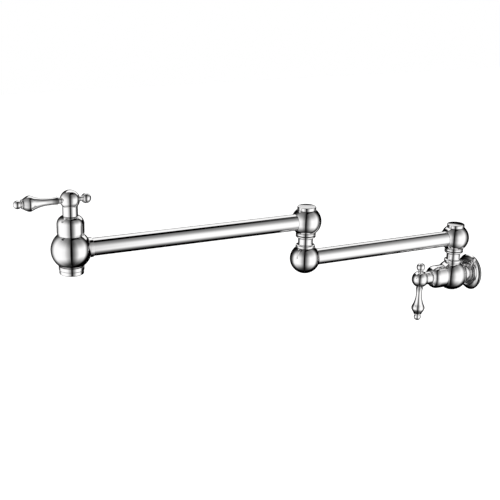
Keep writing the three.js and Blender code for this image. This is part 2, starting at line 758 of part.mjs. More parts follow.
function outletPieces() {
  const collarTop = outletFace - seatGap;
  const collarBottom = collarTop - collarHeight;
  const shellTop = collarBottom - seatGap;
  const shellBottom = shellTop - aeratorHeight;
  const insertBottom = shellBottom + aeratorLip + seatGap;
  const insertTop = insertBottom + insertFlange;
  const gasketBottom = insertTop + seatGap;
  const threadEnd = gasketBottom + gasketThickness + seatGap;
  const shellBore = aeratorRadius - aeratorWall;
  const collar = turn([
    [collarBore, threadEnd],
    [shellBore - seatGap, threadEnd],
    [shellBore - seatGap, collarBottom],
    [collarRadius - collarEdge, collarBottom],
    [collarRadius, collarBottom + collarEdge],
    [collarRadius, collarTop - collarEdge],
    [collarRadius - collarEdge, collarTop],
    [outletBore - seatGap, collarTop],
    [outletBore - seatGap, collarTop + outletBoreDepth],
    [collarBore, collarTop + outletBoreDepth],
  ], outerSides);
  const shell = turn([
    [aeratorMouth, shellBottom],
    ...arc([aeratorRadius - aeratorEdge, shellBottom + aeratorEdge], [aeratorEdge, aeratorEdge], -90, 0),
    [aeratorRadius, shellTop - collarEdge],
    [aeratorRadius - collarEdge, shellTop],
    [shellBore, shellTop],
    [shellBore, shellBottom + aeratorLip],
    [aeratorMouth, shellBottom + aeratorLip],
  ], outerSides);
  const core = turn([
    [0, shellBottom + seatGap],
    [aeratorMouth - seatGap, shellBottom + seatGap],
    [aeratorMouth - seatGap, insertBottom],
    [shellBore - seatGap, insertBottom],
    [shellBore - seatGap, insertTop],
    [collarBore - seatGap, insertTop],
    [collarBore - seatGap, insertTop + insertRise],
    [0, insertTop + insertRise],
  ]);
  const holes = circlePoints(insertHoleCircle, insertHoles).map(({ x, y }) =>
    cylinder(insertHoleRadius, shellBottom - seatGap, insertTop + insertRise + seatGap, holeSides)
      .translate(x, y, 0));
  return [
    piece('outlet_collar', collar, chrome),
    piece('aerator_shell', shell, chrome),
    piece('aerator_insert', cut(core, ...holes), acetal),
    piece('aerator_gasket', ring(collarBore + seatGap, shellBore - seatGap, gasketBottom,
      gasketBottom + gasketThickness), rubber),
  ];
}

// ---- Assembly ----

const spout = group(0, -outerReach, 0,
  piece('spout_body', spoutBodyGeometry(), chrome),
  piece('spout_bonnet', bonnetGeometry(spoutBallRadius, spoutBonnetTop), chrome),
  ...valveInsides('spout', spoutBonnetTop),
  ...handle('spout', spoutBonnetTop, spoutBonnetTop + spoutSkirtHeight, spoutLeverSeat,
    spoutLeverLength, spoutFinialReach),
  ...outletPieces());

const outerArm = group(0, -innerReach, elbowRise,
  ...upperBall('elbow_top_ball', 'elbow'),
  tube('outer_tube', tubeStop + seatGap, outerReach - spoutTubeStop - seatGap),
  spout);

const innerArm = group(0, 0, wallRise,
  ...upperBall('inner_ball', 'inner'),
  tube('inner_tube', tubeStop + seatGap, innerReach - tubeStop - seatGap),
  group(0, -innerReach, 0, piece('elbow_base_ball', lowerBallGeometry(), chrome)),
  group(0, -innerReach, elbowRise, ...swivelPost('elbow')),
  outerArm);

const wallValve = group(0, 0, 0,
  ...wallPieces(),
  ...valveInsides('wall', wallBonnetTop),
  ...handle('wall', wallBonnetTop, wallBonnetTop + wallSkirtHeight, wallLeverSeat,
    wallLeverLength, wallFinialReach));
wallValve.rotation.x = Math.PI / 2; // its spindle points out of the wall, and its +Y up

const potFiller = group(0, -pivotFromWall, 0,
  wallValve,
  group(0, 0, wallRise, ...swivelPost('wall')),
  innerArm);

const model = new THREE.Group();
model.add(potFiller);

export default model;
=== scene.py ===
import json
import math

import bmesh
import bpy
from mathutils import Matrix, Vector


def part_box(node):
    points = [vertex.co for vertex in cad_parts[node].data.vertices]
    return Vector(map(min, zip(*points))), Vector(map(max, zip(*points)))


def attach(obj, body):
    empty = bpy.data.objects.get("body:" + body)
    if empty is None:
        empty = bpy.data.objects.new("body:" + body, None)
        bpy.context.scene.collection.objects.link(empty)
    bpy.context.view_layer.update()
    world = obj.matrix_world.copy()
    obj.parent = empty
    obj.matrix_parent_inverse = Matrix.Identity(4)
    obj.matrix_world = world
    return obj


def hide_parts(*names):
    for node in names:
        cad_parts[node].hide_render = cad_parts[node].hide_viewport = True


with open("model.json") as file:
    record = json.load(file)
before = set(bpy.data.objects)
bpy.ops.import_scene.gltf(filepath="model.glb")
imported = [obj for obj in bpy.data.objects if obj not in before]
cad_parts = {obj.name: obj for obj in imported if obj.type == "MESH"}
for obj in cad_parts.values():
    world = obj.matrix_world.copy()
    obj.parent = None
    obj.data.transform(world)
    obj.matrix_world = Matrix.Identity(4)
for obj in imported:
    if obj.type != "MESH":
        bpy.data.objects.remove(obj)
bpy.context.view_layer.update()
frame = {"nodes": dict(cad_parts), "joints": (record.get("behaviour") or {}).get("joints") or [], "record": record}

mm = 0.001  # pieces are drawn in millimetres about their own middle

scene = bpy.context.scene
scene.view_settings.view_transform = "Standard"


def addObject(name, bm):
    made = bpy.data.objects.new(name, bpy.data.meshes.new(name))
    bm.to_mesh(made.data)
    bm.free()
    scene.collection.objects.link(made)
    return made


# Shader nodes

def addNode(tree, kind, inputs={}, **settings):
    made = tree.nodes.new("ShaderNode" + kind)
    for name, value in settings.items():
        setattr(made, name, value)
    for key, value in inputs.items():
        if isinstance(value, bpy.types.NodeSocket):
            tree.links.new(value, made.inputs[key])
        else:
            made.inputs[key].default_value = value
    return made


def addMath(tree, operation, *values):
    return addNode(tree, "Math", dict(enumerate(values)), operation=operation).outputs[0]


def addRamp(tree, factor, stops):
    ramp = addNode(tree, "ValToRGB", {"Fac": factor})
    elements = ramp.color_ramp.elements
    while len(elements) < len(stops):
        elements.new(0.5)
    for element, (position, colour) in zip(elements, stops):
        element.position = position
        element.color = (*colour, 1) if hasattr(colour, "__len__") else (colour, colour, colour, 1)
    return ramp.outputs["Color"]


# Camera, where the photograph was taken from

cameraView = {
    "place": (1.1984, -0.9908, 0.5023),
    "azimuth": 62.553,  # degrees round from the front of the wall plate
    "pitch": 17.453,  # looking down
    "roll": 1.393,
    "lens": 78.02,  # focal length and sensor width, in millimetres
    "sensor": 36,
}


def lookingBack():
    azimuth = math.radians(cameraView["azimuth"])
    pitch = math.radians(cameraView["pitch"])
    level = math.cos(pitch)
    return Vector((math.sin(azimuth) * level, -math.cos(azimuth) * level, math.sin(pitch)))


def addCamera():
    back = lookingBack()
    right = Vector((0, 0, 1)).cross(back).normalized()
    turn = Matrix((right, back.cross(right), back)).transposed()
    data = bpy.data.cameras.new("camera")
    data.sensor_width = cameraView["sensor"]
    data.lens = cameraView["lens"]
    camera = bpy.data.objects.new("camera", data)
    roll = Matrix.Rotation(math.radians(cameraView["roll"]), 3, "Z")
    camera.matrix_world = Matrix.Translation(cameraView["place"]) @ (turn @ roll).to_4x4()
    scene.collection.objects.link(camera)
    scene.camera = camera


addCamera()
print("camera set")


# Studio: white surroundings, a pale floor, soft lamps, and a light tent that only polished metal shows

studio = {
    "worldLight": 0.75,  # plain level for all but camera, glossy and transmission rays
    "floorLevel": -0.9,
    "floorSize": 14,
    "floorColour": (0.8, 0.8, 0.8),
    "floorRoughness": 0.7,
    "floorGlow": 0.55,  # what the camera sees besides the lamps' light
    "lampPower": 9,
    "lampSize": 1.2,
    "lampPlaces": ((1.6, 0.6, 1.5), (0.2, -2.2, 1.4), (-1.4, 0.2, 1.7)),
}

tent = {
    "middle": (0, -0.32, 0.05),
    "radius": 1.12,
    "height": 7,
    "segments": 96,
    "strength": 1.15,
    "gamma": 2.2,  # the brightnesses below are as they look
    # brightness by degrees to the camera's right: two softboxes with a slit between them
    "around": (
        (-180, 0.05), (-160, 0.02), (-140, 0.06), (-127, 0.2), (-112, 0.45), (-100, 0.8), (-88, 1),
        (-52, 1), (-36, 0.95), (-20, 0.7), (-11, 0.55), (-7, 0.06), (-1, 0.03), (4, 0.34), (9, 0.44),
        (23, 0.72), (38, 0.96), (46, 1), (86, 1), (97, 0.77), (108, 0.45), (120, 0.08), (145, 0.02),
        (180, 0.05),
    ),
    # brightness by degrees above the horizon
    "upwards": (
        (-90, 0.13), (-74, 0.23), (-62, 0.42), (-50, 0.66), (-38, 0.87), (-28, 1), (12, 1), (22, 0.92),
        (34, 0.75), (46, 0.58), (58, 0.49), (70, 0.4), (82, 0.3), (90, 0.28),
    ),
    "leanStart": (60, 100),  # degrees round over which the right softbox starts to lean
    "lean": 0.33,  # it reaches further round, the higher up
    "leanLow": 0.13,  # and less far round, the lower down
    "overhead": (0.1, 0.2),  # sines of the heights where the gap and the top softbox fade in
    "leastHeight": 0.001,  # keeps the ratios below finite
    "gapAzimuth": 42.6,  # the straight dark gap overhead lies across this way
    "gapEdges": (-0.25, -0.12, 0.28, 0.44),  # as distance that way over height
    "gapStart": (-20, 15),  # degrees round where it fades in
    "gapEnd": (112, 98),  # and where it fades out, lower than the next two heights
    "gapHeights": (60, 70),
    "topSide": (-0.12, -0.25),  # softbox overhead begins beyond the gap
    "topRatio": (0.18, 0.3, 3.3, 3.7),  # distance behind over height
    "topLeft": (1.0, 0.7),  # its sides, as distance aside over height
    "topRight": (1.6, 1.15),
    "windowAngle": 8,  # opening on the white backdrop behind the tap
}


def seenBy(tree, *rays):
    path = addNode(tree, "LightPath")
    seen = path.outputs[rays[0]]
    for ray in rays[1:]:
        seen = addMath(tree, "MAXIMUM", seen, path.outputs[ray])
    return seen


def addWorld():
    world = bpy.data.worlds.new("white surroundings")
    world.use_nodes = True
    tree = world.node_tree
    seen = seenBy(tree, "Is Camera Ray", "Is Glossy Ray", "Is Transmission Ray")
    level = addNode(tree, "MapRange", {"Value": seen, "To Min": studio["worldLight"], "To Max": 1.0})
    background = tree.nodes["Background"]
    background.inputs["Color"].default_value = (1, 1, 1, 1)
    tree.links.new(level.outputs["Result"], background.inputs["Strength"])
    scene.world = world


def addFloor():
    bm = bmesh.new()
    bmesh.ops.create_grid(bm, x_segments=1, y_segments=1, size=studio["floorSize"] / 2)
    bmesh.ops.translate(bm, verts=bm.verts, vec=(0, 0, studio["floorLevel"]))
    floor = addObject("floor", bm)
    material = bpy.data.materials.new("pale floor")
    material.use_nodes = True
    tree = material.node_tree
    shader = tree.nodes["Principled BSDF"]
    shader.inputs["Base Color"].default_value = (*studio["floorColour"], 1)
    shader.inputs["Roughness"].default_value = studio["floorRoughness"]
    shader.inputs["Emission Color"].default_value = (1, 1, 1, 1)
    seen = seenBy(tree, "Is Camera Ray", "Is Transmission Ray")
    glow = addMath(tree, "MULTIPLY", seen, studio["floorGlow"])
    tree.links.new(glow, shader.inputs["Emission Strength"])
    floor.data.materials.append(material)
    floor.visible_glossy = False  # the tent's underside is what the chrome shows


def addLamps():
    for place in studio["lampPlaces"]:
        data = bpy.data.lights.new("softbox", "AREA")
        data.shape = "DISK"
        data.size = studio["lampSize"]
        data.energy = studio["lampPower"]
        lamp = bpy.data.objects.new("softbox", data)
        aim = Vector(tent["middle"]) - Vector(place)
        lamp.matrix_world = Matrix.Translation(place) @ aim.to_track_quat("-Z", "Y").to_matrix().to_4x4()
        lamp.visible_glossy = False  # its reflection is painted on the tent
        scene.collection.objects.link(lamp)


def softStep(tree, value, start, end):
    return addNode(tree, "MapRange", {"Value": value, "From Min": start, "From Max": end},
                   interpolation_type="SMOOTHSTEP").outputs["Result"]


def softBand(tree, value, edges):
    rise = softStep(tree, value, edges[0], edges[1])
    fall = softStep(tree, value, edges[3], edges[2])
    return addMath(tree, "MULTIPLY", rise, fall)


def angleStep(tree, angle, degrees):
    start, end = (math.radians(value) for value in degrees)
    return softStep(tree, angle, start, end)


def angleRamp(tree, angle, whole, stops):
    place = addMath(tree, "MULTIPLY_ADD", angle, 1 / math.radians(whole), 0.5)
    return addRamp(tree, place, [((degrees + whole / 2) / whole, value) for degrees, value in stops])


def sideBoxes(tree, azimuth, elevation):
    rising = addMath(tree, "MULTIPLY", addMath(tree, "MAXIMUM", elevation, 0.0), tent["lean"])
    sinking = addMath(tree, "MULTIPLY", addMath(tree, "MINIMUM", elevation, 0.0), tent["leanLow"])
    leaning = addMath(tree, "ADD", rising, sinking)
    leaning = addMath(tree, "MULTIPLY", leaning, angleStep(tree, azimuth, tent["leanStart"]))
    leant = addMath(tree, "SUBTRACT", azimuth, leaning)
    around = angleRamp(tree, leant, 360, tent["around"])
    upwards = angleRamp(tree, elevation, 180, tent["upwards"])
    return addMath(tree, "MULTIPLY", around, upwards)


def overheadGap(tree, azimuth, elevation, reach):
    fadeIn = angleStep(tree, azimuth, tent["gapStart"])
    fadeOut = angleStep(tree, azimuth, tent["gapEnd"])
    high = angleStep(tree, elevation, tent["gapHeights"])
    gapLine = addMath(tree, "MULTIPLY", softBand(tree, reach, tent["gapEdges"]), fadeIn)
    return addMath(tree, "MULTIPLY", gapLine, addMath(tree, "MAXIMUM", fadeOut, high))


def overheadBox(tree, behind, aside, reach, overhead):
    leftward = addMath(tree, "MULTIPLY", aside, -1.0)
    box = addMath(tree, "MULTIPLY", softBand(tree, behind, tent["topRatio"]), overhead)
    for value, limits in ((leftward, "topLeft"), (aside, "topRight"), (reach, "topSide")):
        box = addMath(tree, "MULTIPLY", box, softStep(tree, value, *tent[limits]))
    return box


def backdropWindow(tree, way):
    pitch = math.radians(cameraView["pitch"])
    ahead = (-math.cos(pitch), 0, -math.sin(pitch))
    facing = addNode(tree, "VectorMath", {0: way, 1: ahead}, operation="DOT_PRODUCT").outputs["Value"]
    return addMath(tree, "GREATER_THAN", facing, math.cos(math.radians(tent["windowAngle"])))


# Brightness by direction from the tent's middle: to the photograph's camera, to its right, and up
def tentMaterial():
    material = bpy.data.materials.new("light tent")
    material.use_nodes = True
    material.cycles.emission_sampling = "NONE"
    tree = material.node_tree
    tree.nodes.clear()
    place = addNode(tree, "Mapping", {
        "Vector": addNode(tree, "TexCoord").outputs["Object"],
        "Location": tent["middle"],
        "Rotation": (0, 0, math.radians(cameraView["azimuth"] - 90)),
    }, vector_type="TEXTURE").outputs["Vector"]
    way = addNode(tree, "VectorMath", {0: place}, operation="NORMALIZE").outputs["Vector"]
    front, side, up = addNode(tree, "SeparateXYZ", {"Vector": way}).outputs
    azimuth = addMath(tree, "ARCTAN2", side, front)
    elevation = addMath(tree, "ARCSINE", up)

    height = addMath(tree, "MAXIMUM", up, tent["leastHeight"])
    across = math.radians(tent["gapAzimuth"])
    reach = addMath(tree, "MULTIPLY", front, math.cos(across))
    reach = addMath(tree, "MULTIPLY_ADD", side, math.sin(across), reach)
    reach = addMath(tree, "DIVIDE", reach, height)
    behind = addMath(tree, "DIVIDE", addMath(tree, "MULTIPLY", front, -1.0), height)
    aside = addMath(tree, "DIVIDE", side, height)
    overhead = softStep(tree, up, *tent["overhead"])

    gapLine = addMath(tree, "MULTIPLY", overheadGap(tree, azimuth, elevation, reach), overhead)
    boxes = sideBoxes(tree, azimuth, elevation)
    boxes = addMath(tree, "MULTIPLY", boxes, addMath(tree, "SUBTRACT", 1.0, gapLine))
    topBox = overheadBox(tree, behind, aside, reach, overhead)
    brightness = addMath(tree, "MAXIMUM", boxes, topBox)
    brightness = addMath(tree, "MAXIMUM", brightness, backdropWindow(tree, way))
    light = addMath(tree, "POWER", brightness, tent["gamma"])
    emission = addNode(tree, "Emission", {"Strength": addMath(tree, "MULTIPLY", light, tent["strength"])})
    output = addNode(tree, "OutputMaterial", {"Surface": emission.outputs["Emission"]})
    output.is_active_output = True
    return material


def addTent():
    bm = bmesh.new()
    bmesh.ops.create_cone(bm, cap_ends=True, segments=tent["segments"], radius1=tent["radius"],
                          radius2=tent["radius"], depth=tent["height"])
    bmesh.ops.translate(bm, verts=bm.verts, vec=tent["middle"])
    bmesh.ops.reverse_faces(bm, faces=bm.faces)
    shell = addObject("light tent", bm)
    shell.data.materials.append(tentMaterial())
    shell.visible_camera = False
    shell.visible_diffuse = False
    shell.visible_transmission = False
    shell.visible_shadow = False


addWorld()
addFloor()
addLamps()
addTent()
print("studio set")


# Finishes. A bump is a strength and a depth in metres.

def newFinish(name):
    material = bpy.data.materials.new(name)
    material.use_nodes = True
    tree = material.node_tree
    place = addNode(tree, "TexCoord").outputs["Object"]
    return material, tree, tree.nodes["Principled BSDF"], place


def addNoise(tree, place, settings):
    return addNode(tree, "TexNoise", {"Vector": place, **settings}).outputs["Fac"]


def addColours(tree, shader, factor, span, colours):
    tree.links.new(addRamp(tree, factor, list(zip(span, colours))), shader.inputs["Base Color"])


def addSheen(tree, shader, factor, roughness, span=(0, 1)):
    sheen = addNode(tree, "MapRange", {"Value": factor, "From Min": span[0], "From Max": span[1],
                                       "To Min": roughness[0], "To Max": roughness[1]})
    tree.links.new(sheen.outputs["Result"], shader.inputs["Roughness"])


def addBump(tree, shader, height, strength, depth):
    bump = addNode(tree, "Bump", {"Height": height, "Strength": strength, "Distance": depth})
    tree.links.new(bump.outputs["Normal"], shader.inputs["Normal"])


chromeLook = {
    "clouds": {"Scale": 40, "Detail": 4},
    "span": (0.35, 0.65),
    "colours": ((0.862, 0.856, 0.857), (0.888, 0.883, 0.884)),
    "smears": {"Scale": 260, "Detail": 6, "Distortion": 0.6},
    "smearSpan": (0.3, 0.7),
    "roughness": (0.03, 0.055),
    "rim": 0.55,  # how bright the metal stays where it is seen edge on
    "ripple": (0.012, 0.001),
}


def polishedChrome():
    look = chromeLook
    material, tree, shader, place = newFinish("polished chrome")
    clouds = addNoise(tree, place, look["clouds"])
    smears = addNoise(tree, place, look["smears"])
    addColours(tree, shader, clouds, look["span"], look["colours"])
    addSheen(tree, shader, smears, look["roughness"], look["smearSpan"])
    shader.inputs["Metallic"].default_value = 1
    shader.inputs["Specular Tint"].default_value = (look["rim"], look["rim"], look["rim"], 1)
    addBump(tree, shader, clouds, *look["ripple"])
    return material


brassLook = {
    "stains": {"Scale": 120, "Detail": 5},
    "span": (0.35, 0.6),
    "colours": ((0.66, 0.52, 0.27), (0.82, 0.69, 0.42)),
    "roughness": (0.24, 0.4),
    "toolMarks": {"Scale": 130, "Distortion": 1.5, "Detail": 3},
    "markDepth": (0.15, 0.0003),
}


def machinedBrass():
    look = brassLook
    material, tree, shader, place = newFinish("machined brass")
    marks = addNode(tree, "TexWave", {"Vector": place, **look["toolMarks"]}, bands_direction="DIAGONAL")
    stains = addNoise(tree, place, look["stains"])
    addColours(tree, shader, stains, look["span"], look["colours"])
    addSheen(tree, shader, stains, look["roughness"])
    shader.inputs["Metallic"].default_value = 1
    addBump(tree, shader, marks.outputs["Fac"], *look["markDepth"])
    return material


rubberLook = {
    "bloom": {"Scale": 300, "Detail": 6},
    "span": (0.4, 0.75),
    "colours": ((0.018, 0.018, 0.019), (0.045, 0.045, 0.046)),
    "roughness": (0.62, 0.85),
    "grain": {"Scale": 2500, "Detail": 2},
    "grainDepth": (0.2, 0.0002),
}


def sealRubber():
    look = rubberLook
    material, tree, shader, place = newFinish("seal rubber")
    bloom = addNoise(tree, place, look["bloom"])
    addColours(tree, shader, bloom, look["span"], look["colours"])
    addSheen(tree, shader, bloom, look["roughness"])
    addBump(tree, shader, addNoise(tree, place, look["grain"]), *look["grainDepth"])
    return material


ceramicLook = {
    "body": {"Scale": 200, "Detail": 5},
    "span": (0.35, 0.65),
    "colours": ((0.88, 0.865, 0.83), (0.95, 0.945, 0.92)),
    "roughness": (0.16, 0.3),
    "grains": {"Scale": 3000},
    "grainDepth": (0.05, 0.0001),
}


def lappedCeramic():
    look = ceramicLook
    material, tree, shader, place = newFinish("lapped ceramic")
    body = addNoise(tree, place, look["body"])
    grains = addNode(tree, "TexVoronoi", {"Vector": place, **look["grains"]})
    addColours(tree, shader, body, look["span"], look["colours"])
    addSheen(tree, shader, body, look["roughness"])
    addBump(tree, shader, grains.outputs["Distance"], *look["grainDepth"])
    return material


acetalLook = {
    "flow": {"Scale": 150, "Detail": 4, "Distortion": 0.8},
    "span": (0.35, 0.65),
    "pale": ((0.79, 0.79, 0.77), (0.88, 0.88, 0.865)),
    "dark": ((0.014, 0.014, 0.015), (0.026, 0.026, 0.027)),
    "roughness": (0.38, 0.52),
    "texture": {"Scale": 3500, "Detail": 1},
    "textureDepth": (0.08, 0.0001),
}


def mouldedAcetal(shade):
    look = acetalLook
    material, tree, shader, place = newFinish(shade + " acetal")
    flow = addNoise(tree, place, look["flow"])
    addColours(tree, shader, flow, look["span"], look[shade])
    addSheen(tree, shader, flow, look["roughness"])
    addBump(tree, shader, addNoise(tree, place, look["texture"]), *look["textureDepth"])
    return material


finishes = {
    "chrome": polishedChrome(),
    "brass": machinedBrass(),
    "rubber": sealRubber(),
    "ceramic": lappedCeramic(),
    "acetal": mouldedAcetal("pale"),
    "dark_acetal": mouldedAcetal("dark"),
}

for subpart in frame["record"]["subparts"]:
    for materialSlot in frame["nodes"][subpart["node"]].material_slots:
        materialSlot.material = finishes[subpart["material_slot"]]
print("finishes made")


# Drawing outlines and turning them

seating = {
    "gap": 0.3,  # room between seated pieces
    "edge": 0.25,  # how far their edges are broken
    "overrun": 2,  # how far a cutter reaches past what it cuts
    "samePoint": 0.01,  # points of an outline nearer than this are one
    "creaseAngle": 32,  # degrees from which an edge is shaded sharp
}
gap = seating["gap"]
edge = seating["edge"]
overrun = seating["overrun"]

alongWall = Matrix.Rotation(math.radians(-90), 3, "X")  # Z turned to +Y, towards the wall
outOfWall = Matrix.Rotation(math.radians(90), 3, "X")  # Z turned to -Y


def heightAt(radius, distance):
    return math.sqrt(radius ** 2 - distance ** 2)


def arc(middle, radii, start, end, step=4):
    count = max(2, math.ceil(abs(end - start) / step))
    angles = [math.radians(start + (end - start) * i / count) for i in range(count + 1)]
    return [(middle[0] + radii[0] * math.cos(a), middle[1] + radii[1] * math.sin(a)) for a in angles]


def ballArc(radius, low, high, middle=0, step=3):
    start = math.degrees(math.asin(low / radius))
    end = math.degrees(math.asin(high / radius))
    return arc((0, middle), (radius, radius), start, end, step)


def smoothCurve(points, perStretch=7):
    ends = [points[0], *points, points[-1]]
    curve = []
    for before, start, end, after in zip(ends, ends[1:], ends[2:], ends[3:]):
        for i in range(perStretch):
            t = i / perStretch
            curve.append(tuple(
                s + t * (e - b) / 2
                + t * t * (-3 * s + 3 * e - (e - b) - (a - s) / 2)
                + t * t * t * (2 * s - 2 * e + (e - b) / 2 + (a - s) / 2)
                for b, s, e, a in zip(before, start, end, after)))
    return curve + [points[-1]]


# Each point is a radius, a level, and where a corner is rounded, by how much.
# A profile starts and ends on the axis, or it is a ring that closes on itself.
def turned(profile, steps=128):
    bm = bmesh.new()
    points = [profile[0]]
    for before, point in zip(profile, profile[1:]):
        if math.dist(before[:2], point[:2]) > seating["samePoint"]:
            points.append(point)
    verts = [bm.verts.new((p[0], 0, p[1])) for p in points]
    for pair in zip(verts, verts[1:]):
        bm.edges.new(pair)
    if points[0][0] > 0:
        bm.edges.new((verts[-1], verts[0]))
    for vert, point in zip(verts, points):
        for rounding in point[2:]:
            bmesh.ops.bevel(bm, geom=[vert], offset=rounding, offset_type="OFFSET", segments=3, profile=0.5,
                            affect="VERTICES", material=-1)
    bmesh.ops.spin(bm, geom=bm.verts[:] + bm.edges[:], cent=(0, 0, 0), axis=(0, 0, 1), angle=2 * math.pi,
                   steps=steps, use_merge=True)
    bmesh.ops.remove_doubles(bm, verts=bm.verts, dist=0.001)
    bmesh.ops.recalc_face_normals(bm, faces=bm.faces)
    return bm


def laid(bm, lying):
    if lying:
        bmesh.ops.rotate(bm, verts=bm.verts, cent=(0, 0, 0), matrix=lying)
    return bm


def rod(radius, low, high, lying=None, steps=96):
    return laid(turned([(0, low), (radius, low), (radius, high), (0, high)], steps), lying)


# Groove round a surface for a seal, given by the radius of its section and how far it stands proud
def sealGroove(outer, middle, section, proud=0):
    half = section + gap
    floor = outer + proud - section - half
    return [(outer, middle - half), (floor, middle - half), (floor, middle + half), (outer, middle + half)]


# Joins or cuts a shape with others, each given with its operation.
def combined(bm, *changes):
    base = addObject("work", bm)
    tools = []
    for operation, tool in changes:
        tools.append(addObject("work", tool))
        change = base.modifiers.new(operation, "BOOLEAN")
        change.operation = operation
        change.solver = "EXACT"
        change.object = tools[-1]
    result = bmesh.new()
    result.from_object(base, bpy.context.evaluated_depsgraph_get())
    for work in [base, *tools]:
        mesh = work.data
        bpy.data.objects.remove(work)
        bpy.data.meshes.remove(mesh)
    bmesh.ops.remove_doubles(result, verts=result.verts, dist=0.002)
    return result


def addPiece(name, bm, place, body, finish, *nodes, lying=None):
    laid(bm, lying)
    bmesh.ops.translate(bm, verts=bm.verts, vec=place)
    bmesh.ops.scale(bm, verts=bm.verts, vec=(mm, mm, mm))
    for face in bm.faces:
        face.smooth = True
    crease = math.radians(seating["creaseAngle"])
    for line in bm.edges:
        line.smooth = line.calc_face_angle(math.pi) < crease
    piece = addObject(name, bm)
    piece.data.materials.append(finishes[finish])
    shading = piece.modifiers.new("even shading", "WEIGHTED_NORMAL")
    shading.keep_sharp = True
    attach(piece, body)
    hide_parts(*nodes)


def corners(node):
    low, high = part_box(node)
    return low / mm, high / mm


pivots = {joint["name"]: Vector(joint["pos_m"]) / mm for joint in frame["joints"]}


# Joint balls. Levels are from the middle of the ball.

jointBall = {
    "radius": 20.3,
    "capSeat": 12.9,
    "chamber": 11,
    "ring": 13.4,  # ring that the parting line divides
    "ringStep": 0.6,
    "ringRounding": 0.3,
    "foot": 2.4,
    "guide": 8.3,  # bore that turns on the spigot
    "guideLength": 12.2,
    "plugSocket": 9.3,
    "plugDepth": 7.5,
    "lowerChamber": 7.7,
    "lowerDepth": 7,
    "tubeSocket": 11.3,
    "tubeStop": 12.7,
    "port": 5.6,
}
ballTop = heightAt(jointBall["radius"], jointBall["capSeat"])
footTop = -heightAt(jointBall["radius"], jointBall["ring"] - jointBall["ringStep"])
footLevel = footTop - jointBall["foot"]
guideTop = footLevel + jointBall["guideLength"]


# Socket for a tube, from its stop outwards, and the port from the chamber into it
def tubeSocketCuts(stop, end, chamber, lying):
    socket = rod(jointBall["tubeSocket"], stop, end + overrun, lying, steps=128)
    port = rod(jointBall["port"], heightAt(chamber, jointBall["port"]), stop + gap, lying, steps=48)
    return [("DIFFERENCE", socket), ("DIFFERENCE", port)]


def upperBall():
    ball = jointBall
    shell = turned([
        (ball["guide"], footLevel),
        (ball["ring"], footLevel, edge),
        (ball["ring"], footTop - ball["ringStep"], ball["ringRounding"]),
        *ballArc(ball["radius"], footTop, ballTop),
        (ball["chamber"], ballTop, edge),
        (ball["chamber"], guideTop),
        (ball["guide"], guideTop),
    ])
    return combined(shell, *tubeSocketCuts(ball["tubeStop"], ball["radius"], ball["chamber"], outOfWall))


def lowerBall():
    ball = jointBall
    shell = turned([
        *ballArc(ball["radius"], -ball["radius"], ballTop),
        (ball["plugSocket"], ballTop, edge),
        (ball["plugSocket"], ballTop - ball["plugDepth"]),
        (ball["lowerChamber"], ballTop - ball["plugDepth"]),
        (ball["lowerChamber"], -ball["lowerDepth"]),
        (0, -ball["lowerDepth"]),
    ])
    return combined(shell, *tubeSocketCuts(ball["tubeStop"], ball["radius"], ball["lowerChamber"], alongWall))


ballCap = {
    "radius": 12.6,
    "height": 4.8,
    "rimRounding": 0.4,
    "rounding": 1.4,
    "crown": 0.3,
    "plugLength": 4.7,
    "sealSection": 0.7,
}


def capPiece():
    cap = ballCap
    plug = jointBall["chamber"] - gap
    low = ballTop + gap
    high = low + cap["height"]
    sealMiddle = ballTop - cap["plugLength"] / 2
    shoulder = cap["radius"] - cap["rounding"]
    crownRadius = (shoulder ** 2 + cap["crown"] ** 2) / (2 * cap["crown"])
    crownStart = math.degrees(math.acos(shoulder / crownRadius))
    return turned([
        (0, ballTop - cap["plugLength"]),
        (plug, ballTop - cap["plugLength"], edge),
        *sealGroove(plug, sealMiddle, cap["sealSection"]),
        (plug, low),
        (cap["radius"], low, cap["rimRounding"]),
        *arc((shoulder, high - cap["rounding"]), (cap["rounding"], cap["rounding"]), 0, 90, step=15),
        *arc((0, high + cap["crown"] - crownRadius), (crownRadius, crownRadius), crownStart, 90, step=1),
    ])


# Post of a swivel: a plug below, two rings with a waist between them, and a spigot above

post = {
    "height": 16.4,
    "lowerRing": 13.1,
    "lowerRingHeight": 3.6,
    "lowerRingBulge": 0.9,
    "flare": 2.6,
    "waist": 10,
    "upperRingHeight": 1.9,
    "plug": 9,
    "spigot": 8,
    "waterway": 4.8,
    "thread": 7,
    "threadEnd": 6.3,  # above the top of the guide
    "sealSection": 0.8,
    "sealProud": 0.1,
    "sealSpacing": 4.5,
}

slipWasher = {"thickness": 0.8, "rounding": 0.15}
neckTop = footLevel - slipWasher["thickness"] - 2 * gap
neckBottom = neckTop - post["height"]


